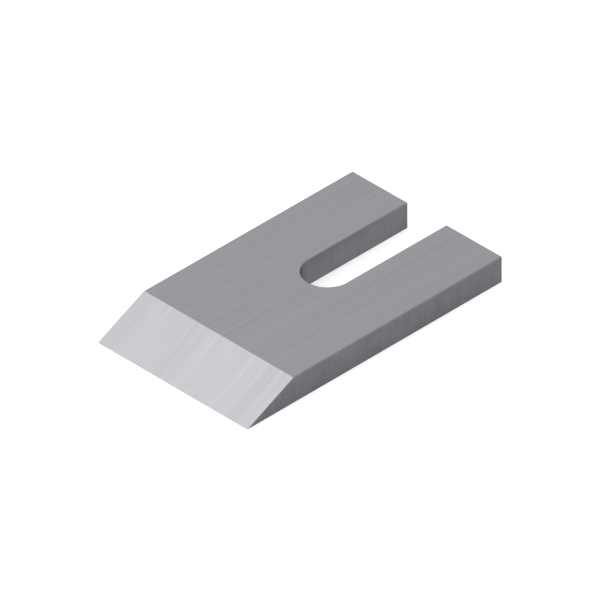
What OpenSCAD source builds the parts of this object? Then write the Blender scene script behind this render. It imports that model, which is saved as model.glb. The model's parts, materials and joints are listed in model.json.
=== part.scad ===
// Shredder blade: one flat piece of tool steel with a ground cutting bevel and an open bolt slot.
// It lies on its seat face. X runs along the cutting edge, Y from the cutting edge to the ends
// of the two arms, and Z up through the thickness. The origin is under the middle of the plate.

/* [Plate] */
// Length from the cutting edge to the ends of the arms
blade_length = 92; // [70:1:140]
// Width of the plate, and so of the cutting edge
blade_width = 54; // [40:1:90]
// Thickness between the two ground faces
blade_thickness = 8; // [5:0.5:12]

/* [Cutting edge] */
// Angle between the bevel and the seat face
bevel_angle = 25.5; // [20:0.5:45]
// Height of the honed land that is left along the cutting edge
edge_land = 0.1; // [0.05:0.05:0.5]

/* [Bolt slot] */
// Width of the open slot, which straddles a 12 mm clamp bolt
slot_width = 14; // [9:0.5:22]
// Depth of the slot, from the ends of the arms to the bottom of its round end
slot_depth = 43.2; // [25:0.1:55]

/* [Edges] */
// Chamfer that breaks the plate's edges before the bevel is ground
edge_break = 0.2; // [0.1:0.05:0.8]

/* [Hidden] */
$fn = 96;
// How far a cut runs past the surface that it opens
spare = 1;
front = -blade_length / 2;
rear = blade_length / 2;
half_width = blade_width / 2;
slot_radius = slot_width / 2;
slot_centre = rear - slot_depth + slot_radius;
bevel_slope = (blade_thickness - edge_land) / sin(bevel_angle);
steel_grey = "#999a9e";

// Extrudes an outline drawn in X and Z along Y, to both sides of the origin
module along_y(run) rotate([90, 0, 0]) linear_extrude(run, center = true) children();

// Extrudes an outline drawn in Y and Z along X, to both sides of the origin
module along_x(run) rotate([90, 0, 90]) linear_extrude(run, center = true) children();

// A rectangle between two corners, with its own four corners broken
module broken_rectangle(low, high) {
    polygon([
        [low.x + edge_break, low.y],
        [high.x - edge_break, low.y],
        [high.x, low.y + edge_break],
        [high.x, high.y - edge_break],
        [high.x - edge_break, high.y],
        [low.x + edge_break, high.y],
        [low.x, high.y - edge_break],
        [low.x, low.y + edge_break],
    ]);
}

// The flat plate: its long edges, then its rear edges, then its rear corners are broken
module ground_plate() {
    intersection() {
        along_y(blade_length) broken_rectangle([-half_width, 0], [half_width, blade_thickness]);
        along_x(blade_width) broken_rectangle([front - spare, 0], [rear, blade_thickness]);
        linear_extrude(blade_thickness)
            broken_rectangle([-half_width, front - spare], [half_width, rear]);
    }
}

// What grinding takes off above the bevel. It comes last, so the bevel's own edges stay crisp
module bevel_waste() {
    translate([0, front, edge_land]) rotate([bevel_angle, 0, 0])
        translate([-half_width - spare, -spare, 0])
            cube([blade_width + 2 * spare, bevel_slope + 2 * spare, blade_thickness]);
}

// Half of the slot's section: a straight wall that flares at both faces, which breaks its rims
module slot_half_section() {
    polygon([
        [0, -spare],
        [slot_radius + edge_break + spare, -spare],
        [slot_radius, edge_break],
        [slot_radius, blade_thickness - edge_break],
        [slot_radius + edge_break + spare, blade_thickness + spare],
        [0, blade_thickness + spare],
    ]);
}

// What milling takes out of the slot: its round end, its straight run and its flared mouth
module slot_waste() {
    straight_run = rear + spare - slot_centre;
    translate([0, slot_centre, 0]) {
        rotate_extrude() slot_half_section();
        translate([0, straight_run / 2, 0]) along_y(straight_run) {
            slot_half_section();
            mirror([1, 0]) slot_half_section();
        }
    }
    translate([0, 0, -spare]) linear_extrude(blade_thickness + 2 * spare)
        polygon([
            [-slot_radius, rear - edge_break],
            [slot_radius, rear - edge_break],
            [slot_radius + edge_break + spare, rear + spare],
            [-slot_radius - edge_break - spare, rear + spare],
        ]);
}

module blade() {
    color(steel_grey) difference() {
        ground_plate();
        bevel_waste();
        slot_waste();
    }
}

blade();
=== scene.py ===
import json
import math

import bmesh
import bpy
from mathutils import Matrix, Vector


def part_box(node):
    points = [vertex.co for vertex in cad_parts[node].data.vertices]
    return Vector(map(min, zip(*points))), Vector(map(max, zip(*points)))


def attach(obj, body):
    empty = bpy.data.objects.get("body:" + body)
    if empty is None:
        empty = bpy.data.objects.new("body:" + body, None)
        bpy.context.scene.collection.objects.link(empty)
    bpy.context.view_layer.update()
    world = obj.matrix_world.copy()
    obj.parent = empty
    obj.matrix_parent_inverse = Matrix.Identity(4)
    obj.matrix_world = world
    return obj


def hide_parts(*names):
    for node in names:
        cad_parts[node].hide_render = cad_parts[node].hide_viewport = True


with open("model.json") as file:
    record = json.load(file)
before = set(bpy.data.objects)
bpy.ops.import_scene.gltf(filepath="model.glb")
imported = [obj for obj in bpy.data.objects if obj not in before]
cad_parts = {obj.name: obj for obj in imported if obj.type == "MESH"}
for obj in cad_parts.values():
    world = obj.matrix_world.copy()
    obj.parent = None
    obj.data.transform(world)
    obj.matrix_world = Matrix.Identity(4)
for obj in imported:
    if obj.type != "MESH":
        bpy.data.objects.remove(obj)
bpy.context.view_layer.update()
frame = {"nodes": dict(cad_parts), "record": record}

# Blade: one flat bar of tool steel with an open, round-ended bolt slot milled in from its rear. Its upright
# corners are broken before it is hardened, and the rims of its faces with a stone after that. Both faces are
# then surface ground, and the bevel last, so the ridge and the bevel's own sides stay crisp.
blade_low, blade_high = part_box("blade")
thickness = blade_high.z - blade_low.z
same_place = thickness / 10000
cut_tolerance = same_place / 10
mm_per_metre = 1000
solid_points = [vertex.co for vertex in frame["nodes"]["blade"].data.vertices]
top_points = [point for point in solid_points if point.z > blade_high.z - same_place]
front_points = [point for point in solid_points if point.y < blade_low.y + same_place]
edge_break = blade_high.x - max(point.x for point in top_points)
ridge = Vector((0, min(point.y for point in top_points), blade_high.z))
cutting_edge = Vector((0, blade_low.y, max(point.z for point in front_points)))
bolt_slot = next(mount for mount in frame["record"]["mounts"] if mount["name"] == "bolt_slot")
slot_radius = bolt_slot["dims"]["r_mm"] / mm_per_metre
slot_centre = Vector((0, bolt_slot["pos_m"][1], blade_low.z))
slot_steps = 48
break_segments = 4
corner_angle = math.radians(60)

# Half of the outline runs from the bottom of the slot round to the middle of the cutting edge
plate = bmesh.new()
slot_bottom = plate.verts.new(slot_centre - Vector((0, slot_radius, 0)))
slot_arc = bmesh.ops.spin(
    plate, geom=[slot_bottom], cent=slot_centre, axis=(0, 0, 1), angle=math.pi / 2, steps=slot_steps
)
tip = next(item for item in slot_arc["geom_last"] if isinstance(item, bmesh.types.BMVert))
slot_mouth = Vector((slot_radius, blade_high.y, blade_low.z))
rear_corner = Vector((blade_high.x, blade_high.y, blade_low.z))
front_corner = Vector((blade_high.x, blade_low.y, blade_low.z))
front_middle = Vector((0, blade_low.y, blade_low.z))
for place in (slot_mouth, rear_corner, front_corner, front_middle):
    tip = bmesh.ops.extrude_vert_indiv(plate, verts=[tip])["verts"][0]
    tip.co = place
bmesh.ops.mirror(plate, geom=plate.verts[:] + plate.edges[:], axis="X", merge_dist=same_place)
bmesh.ops.dissolve_verts(plate, verts=[vert for vert in plate.verts if vert.co == front_middle])

# The outline is filled and raised to the plate's thickness
bmesh.ops.contextual_create(plate, geom=plate.edges[:])
raised = bmesh.ops.extrude_face_region(plate, geom=plate.faces[:])["geom"]
raised_verts = [item for item in raised if isinstance(item, bmesh.types.BMVert)]
bmesh.ops.translate(plate, verts=raised_verts, vec=(0, 0, thickness))
bmesh.ops.recalc_face_normals(plate, faces=plate.faces[:])


def lies_on_front(edge):
    """True for the edges of the plate's front end, which the bevel takes away or leaves sharp."""
    return all(vert.co.y < blade_low.y + same_place for vert in edge.verts)


corners = [edge for edge in plate.edges if edge.calc_face_angle() > corner_angle]
bmesh.ops.bevel(
    plate,
    geom=[edge for edge in corners if not lies_on_front(edge)],
    offset=edge_break,
    segments=break_segments,
    profile=0.5,
    affect="EDGES",
    material=-1,
)

# One flat cut from the ridge to the cutting edge takes the front down to the bevel
bevel_slope = ridge - cutting_edge
bevel_normal = Vector((0, -bevel_slope.z, bevel_slope.y)).normalized()
bevel_cut = bmesh.ops.bisect_plane(
    plate,
    geom=plate.verts[:] + plate.edges[:] + plate.faces[:],
    dist=cut_tolerance,
    plane_co=cutting_edge,
    plane_no=bevel_normal,
    clear_outer=True,
)
bevel_rim = [item for item in bevel_cut["geom_cut"] if isinstance(item, bmesh.types.BMEdge)]
bmesh.ops.contextual_create(plate, geom=bevel_rim)
bmesh.ops.recalc_face_normals(plate, faces=plate.faces[:])

finish_order = ("ground_face", "ground_bevel", "side_skin_and_shade", "slot_skin_light_and_shade", "stoned_edge")
least_lean = 0.0001


def finish_of(face):
    """The name of the finish that a face of the plate was left with. The upright corners keep the skin."""
    middle = face.calc_center_median()
    level = abs(face.normal.z)
    if middle.y < blade_low.y + same_place or face.normal.dot(bevel_normal) > 1 - least_lean:
        return "ground_bevel"
    if level > 1 - least_lean:
        return "ground_face"
    if level > least_lean:
        return "stoned_edge"
    return "slot_skin_light_and_shade" if abs(middle.x) < slot_radius + same_place else "side_skin_and_shade"


for face in plate.faces:
    finish = finish_of(face)
    face.smooth = True
    face.material_index = finish_order.index(finish)
    if finish == "ground_bevel":
        for edge in face.edges:
            edge.smooth = False

blade_mesh = bpy.data.meshes.new("blade_plate")
for finish in finish_order:
    blade_mesh.materials.append(bpy.data.materials.new(finish))
plate.to_mesh(blade_mesh)
plate.free()
blade = bpy.data.objects.new("blade_plate", blade_mesh)
bpy.context.scene.collection.objects.link(blade)
flat_faces = blade.modifiers.new("flat_faces", "WEIGHTED_NORMAL")
flat_faces.keep_sharp = True


def add_node(tree, kind, inputs):
    """Adds a shader node to a tree: each input is a value to set, or another node's output to link."""
    node = tree.nodes.new("ShaderNode" + kind)
    for label, value in inputs.items():
        if isinstance(value, bpy.types.NodeSocket):
            tree.links.new(value, node.inputs[label])
        else:
            node.inputs[label].default_value = value
    return node


def drawn_noise(tree, place, waves_per_metre, detail=2.0, spread=(0.3, 0.7)):
    """Noise from 0 to 1 over a spread of its values, drawn out along the axes that have few waves."""
    drawn = add_node(tree, "Mapping", {"Vector": place, "Scale": waves_per_metre}).outputs["Vector"]
    noise = add_node(tree, "TexNoise", {"Vector": drawn, "Scale": 1.0, "Detail": detail})
    level = {"Value": noise.outputs["Fac"], "From Min": spread[0], "From Max": spread[1]}
    return add_node(tree, "MapRange", level).outputs["Result"]


def blend(tree, share, low, high):
    """A value between low and high; share, low and high are each a number or a node's output."""
    return add_node(tree, "Mix", {"Factor": share, "A": low, "B": high}).outputs["Result"]


def work_out(tree, operation, first, second):
    """One step of arithmetic on two values, each a number or a node's output."""
    step = add_node(tree, "Math", {0: first, 1: second})
    step.operation = operation
    return step.outputs[0]


def start_finish(name):
    """Starts one of the blade's finishes as bare metal: its node tree, and the place it is read at."""
    finish = blade_mesh.materials[name]
    finish.use_nodes = True
    finish.node_tree.nodes["Principled BSDF"].inputs["Metallic"].default_value = 1.0
    return finish.node_tree, add_node(finish.node_tree, "TexCoord", {}).outputs["Object"]


def lay_marks(tree, shade, colours, roughness, marks, depth):
    """Ends a finish: shade picks its colour and roughness, and the tool's marks are cut in to a depth."""
    shader = tree.nodes["Principled BSDF"]
    tone = add_node(tree, "Mix", {})
    tone.data_type = "RGBA"
    tree.links.new(shade, tone.inputs["Factor"])
    tone.inputs["A"].default_value = (*colours[0], 1.0)
    tone.inputs["B"].default_value = (*colours[1], 1.0)
    tree.links.new(tone.outputs["Result"], shader.inputs["Base Color"])
    tree.links.new(blend(tree, shade, *roughness), shader.inputs["Roughness"])
    cut = add_node(tree, "Bump", {"Height": marks, "Strength": 1.0, "Distance": depth})
    tree.links.new(cut.outputs["Normal"], shader.inputs["Normal"])


def grind_faces():
    """Both flat faces: the grinding wheel's straight lines along the blade, a few of them scored deeper."""
    tree, place = start_finish("ground_face")
    dull_steel = (0.345, 0.349, 0.372)
    clean_steel = (0.436, 0.441, 0.469)
    fine_waves = (5200, 16, 16)
    coarse_waves = (1700, 9, 9)
    coarse_share = 0.6
    pass_waves = (190, 4, 4)
    pass_share = 0.3
    score_waves = (820, 11, 11)
    score_spread = (0.64, 0.76)
    fine = drawn_noise(tree, place, fine_waves)
    coarse = drawn_noise(tree, place, coarse_waves)
    passes = drawn_noise(tree, place, pass_waves, detail=1.0)
    scores = drawn_noise(tree, place, score_waves, spread=score_spread)
    lines = blend(tree, scores, blend(tree, coarse_share, fine, coarse), 0.0)
    lay_marks(
        tree,
        shade=blend(tree, pass_share, lines, passes),
        colours=(dull_steel, clean_steel),
        roughness=(0.44, 0.36),
        marks=lines,
        depth=0.000004,
    )


def grind_bevel():
    """The bevel and its land: finer lines up the slope, bent to the rim of the cup wheel that cut them,
    partly painted lighter.
    """
    tree, place = start_finish("ground_bevel")
    # Painted highlight: the bevel's steel is lighter than the faces' steel, partly for its finer grind and
    # partly to stand for the light it catches.
    dull_steel = (0.448, 0.452, 0.471)
    bright_steel_and_highlight = (0.57, 0.575, 0.596)
    fine_waves = (6400, 30, 30)
    coarse_waves = (2300, 20, 20)
    coarse_share = 0.5
    pass_waves = (230, 10, 10)
    pass_share = 0.2
    wheel_radius = 0.06
    apart = add_node(tree, "SeparateXYZ", {"Vector": place}).outputs
    up_slope = work_out(tree, "SUBTRACT", apart["Y"], (ridge.y + cutting_edge.y) / 2)
    bow = work_out(tree, "DIVIDE", work_out(tree, "POWER", up_slope, 2.0), 2 * wheel_radius)
    along_edge = work_out(tree, "ADD", apart["X"], bow)
    bent_place = {"X": along_edge, "Y": apart["Y"], "Z": apart["Z"]}
    bent = add_node(tree, "CombineXYZ", bent_place).outputs["Vector"]
    fine = drawn_noise(tree, bent, fine_waves)
    coarse = drawn_noise(tree, bent, coarse_waves)
    passes = drawn_noise(tree, bent, pass_waves, detail=1.0)
    lines = blend(tree, coarse_share, fine, coarse)
    lay_marks(
        tree,
        shade=blend(tree, pass_share, lines, passes),
        colours=(dull_steel, bright_steel_and_highlight),
        roughness=(0.38, 0.3),
        marks=lines,
        depth=0.000004,
    )


def harden_walls(name, painted_light_share=0.0):
    """Walls left as they were hardened: a dark, matt, faintly mottled skin over the cutter's upright marks.
    Their darkness is partly painted shade. The stone that broke the edges has rubbed it thin in patches
    just beside them. The slot's straight run is painted lighter, as painted light against the shade its
    walls cast on each other, by a share that falls to nothing at the open mouth and in the round end, which
    is left darker as painted shade."""
    tree, place = start_finish(name)
    # Painted shade: the dark skin is partly a real hardening skin and partly the shade of upright walls, put
    # into their colour.
    dark_skin_and_shade = (0.146, 0.148, 0.16)
    bare_steel = (0.4, 0.405, 0.43)
    matt_sheen = (0.2, 0.2, 0.2, 1.0)
    skin_range = 0.2
    mark_waves = (5200, 5200, 90)
    mottle_waves = (240, 240, 240)
    mottle_share = 0.45
    patch_waves = (420, 420, 420)
    rub_reach = 0.0005
    rub_strength = 0.12
    mouth_reach = 0.018
    end_shares = (0.35, 0.65)
    end_starts, end_fully_unlightened = (slot_centre.y - share * slot_radius for share in end_shares)
    tree.nodes["Principled BSDF"].inputs["Specular Tint"].default_value = matt_sheen
    marks = drawn_noise(tree, place, mark_waves)
    mottle = drawn_noise(tree, place, mottle_waves, detail=5.0)
    skin = work_out(tree, "MULTIPLY", blend(tree, mottle_share, marks, mottle), skin_range)
    apart = add_node(tree, "SeparateXYZ", {"Vector": place}).outputs
    # Painted light: the slot's straight run is made paler to offset the shade its walls cast on each other.
    # It fades out at the open mouth and in the round end, which stays darker as painted shade.
    if painted_light_share:
        mouth_band = {"Value": apart["Y"], "From Min": blade_high.y - mouth_reach, "From Max": blade_high.y}
        near_mouth = add_node(tree, "MapRange", mouth_band).outputs["Result"]
        end_band = {"Value": apart["Y"], "From Min": end_starts, "From Max": end_fully_unlightened}
        near_end = add_node(tree, "MapRange", end_band).outputs["Result"]
        painted_light_fade = work_out(tree, "MAXIMUM", work_out(tree, "POWER", near_mouth, 2.0), near_end)
        skin = blend(tree, blend(tree, painted_light_fade, painted_light_share, 0.0), skin, 1.0)
    from_face = work_out(tree, "PINGPONG", apart["Z"], thickness / 2)
    edge_band = {"Value": from_face, "From Min": rub_reach, "From Max": edge_break}
    near_edge = add_node(tree, "MapRange", edge_band).outputs["Result"]
    patches = drawn_noise(tree, place, patch_waves, detail=4.0)
    rubbed = work_out(tree, "MULTIPLY", near_edge, patches)
    lay_marks(
        tree,
        shade=blend(tree, work_out(tree, "MULTIPLY", rubbed, rub_strength), skin, 1.0),
        colours=(dark_skin_and_shade, bare_steel),
        roughness=(0.56, 0.36),
        marks=marks,
        depth=0.000003,
    )


def stone_edges():
    """The broken rims, where the stone has rubbed through the skin and left some of it in the low spots."""
    tree, place = start_finish("stoned_edge")
    skin_left = (0.205, 0.207, 0.219)
    rubbed_steel = (0.262, 0.265, 0.28)
    rub_waves = (2600, 2600, 2600)
    rub = drawn_noise(tree, place, rub_waves)
    lay_marks(
        tree,
        shade=rub,
        colours=(skin_left, rubbed_steel),
        roughness=(0.46, 0.38),
        marks=rub,
        depth=0.000002,
    )


grind_faces()
grind_bevel()
harden_walls("side_skin_and_shade")
harden_walls("slot_skin_light_and_shade", painted_light_share=0.21)
stone_edges()

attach(blade, "root")
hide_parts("blade")

# Floor: a plain pale light table under the blade's seat face, large enough to fill every view.
# Its own soft glow keeps the shade beside the blade and in the slot light.
floor_span = 6.0
floor_white = (0.96, 0.96, 0.96, 1.0)
floor_roughness = 0.9
floor_glow = 0.4
floor_shape = bmesh.new()
bmesh.ops.create_grid(floor_shape, x_segments=1, y_segments=1, size=floor_span / 2)
floor_mesh = bpy.data.meshes.new("floor")
floor_shape.to_mesh(floor_mesh)
floor_shape.free()
floor = bpy.data.objects.new("floor", floor_mesh)
bpy.context.scene.collection.objects.link(floor)
floor_paint = bpy.data.materials.new("floor_paint")
floor_paint.use_nodes = True
floor_shader = floor_paint.node_tree.nodes["Principled BSDF"]
floor_shader.inputs["Base Color"].default_value = floor_white
floor_shader.inputs["Roughness"].default_value = floor_roughness
floor_shader.inputs["Emission Color"].default_value = floor_white
floor_shader.inputs["Emission Strength"].default_value = floor_glow
floor_mesh.materials.append(floor_paint)

# Light: a wide softbox overhead and a narrower one low in front, in a grey room whose walls grow pale
# towards the floor. Past the edge of the floor the camera sees a plain white backdrop instead of the room.
white = (1.0, 1.0, 1.0, 1.0)
top_box_size = Vector((3.6, 2.0))
top_box_height = 1.6
top_box_radiance = 0.85
front_box_size = Vector((2.4, 0.6))
front_box_distance = 1.6
front_box_elevation = math.radians(40)
front_box_radiance = 0.9
ceiling_radiance = 0.42
wall_radiance = 1.15
wall_fades_from = math.sin(math.radians(8))
wall_fades_to = math.sin(math.radians(48))


def hang_softbox(name, size, place, radiance):
    """Hangs one evenly glowing panel that faces the blade."""
    panel = bpy.data.lights.new(name, "AREA")
    panel.shape = "RECTANGLE"
    panel.size = size.x
    panel.size_y = size.y
    panel.energy = radiance * math.pi * size.x * size.y
    softbox = bpy.data.objects.new(name, panel)
    softbox.location = place
    softbox.rotation_euler = (-place).to_track_quat("-Z", "Y").to_euler()
    bpy.context.scene.collection.objects.link(softbox)


towards_front_box = Vector((0, -math.cos(front_box_elevation), math.sin(front_box_elevation)))
hang_softbox("top_softbox", top_box_size, Vector((0, 0, top_box_height)), top_box_radiance)
hang_softbox("front_softbox", front_box_size, towards_front_box * front_box_distance, front_box_radiance)
room = bpy.data.worlds.new("room")
room.use_nodes = True
room_tree = room.node_tree
direction = add_node(room_tree, "TexCoord", {}).outputs["Generated"]
height = add_node(room_tree, "SeparateXYZ", {"Vector": direction}).outputs["Z"]
radiance = add_node(
    room_tree,
    "MapRange",
    {
        "Value": height,
        "From Min": wall_fades_from,
        "From Max": wall_fades_to,
        "To Min": wall_radiance,
        "To Max": ceiling_radiance,
    },
)
radiance.interpolation_type = "SMOOTHSTEP"
room_light = room_tree.nodes["Background"]
room_light.inputs["Color"].default_value = white
room_tree.links.new(radiance.outputs["Result"], room_light.inputs["Strength"])
backdrop = add_node(room_tree, "Background", {"Color": white})
seen_directly = add_node(room_tree, "LightPath", {}).outputs["Is Camera Ray"]
room_or_backdrop = add_node(
    room_tree, "MixShader", {0: seen_directly, 1: room_light.outputs[0], 2: backdrop.outputs[0]}
)
room_tree.links.new(room_or_backdrop.outputs[0], room_tree.nodes["World Output"].inputs["Surface"])
bpy.context.scene.world = room
bpy.context.scene.view_settings.view_transform = "Standard"

# Camera: a long lens, so that the view is all but isometric, from the right of the cutting edge and above.
# The blade's outline is as wide in its picture, in pixels, as in the photograph, and a small offset moves
# the aim off the blade's middle, so that the outline lies where it does there.
view_azimuth = math.radians(45)
view_elevation = math.asin(1 / math.sqrt(3))
lens_length = 1.5
sensor_width = 0.036
image_width = 600
outline_width = 404.2
aim_offset = Vector((-0.00008, -0.00009, 0))
outline_span = (blade_high.x - blade_low.x + blade_high.y - blade_low.y) * math.sin(view_azimuth)
picture_span = outline_span * image_width / outline_width
camera_distance = picture_span * lens_length / sensor_width
towards_camera = Vector((
    math.sin(view_azimuth) * math.cos(view_elevation),
    -math.cos(view_azimuth) * math.cos(view_elevation),
    math.sin(view_elevation),
))
camera_data = bpy.data.cameras.new("camera")
camera_data.lens = lens_length * mm_per_metre
camera_data.sensor_width = sensor_width * mm_per_metre
camera_data.clip_end = camera_distance * 2
camera = bpy.data.objects.new("camera", camera_data)
camera.rotation_euler = (-towards_camera).to_track_quat("-Z", "Y").to_euler()
aim = (blade_low + blade_high) / 2 + camera.rotation_euler.to_matrix() @ aim_offset
camera.location = aim + towards_camera * camera_distance
bpy.context.scene.collection.objects.link(camera)
bpy.context.scene.camera = camera
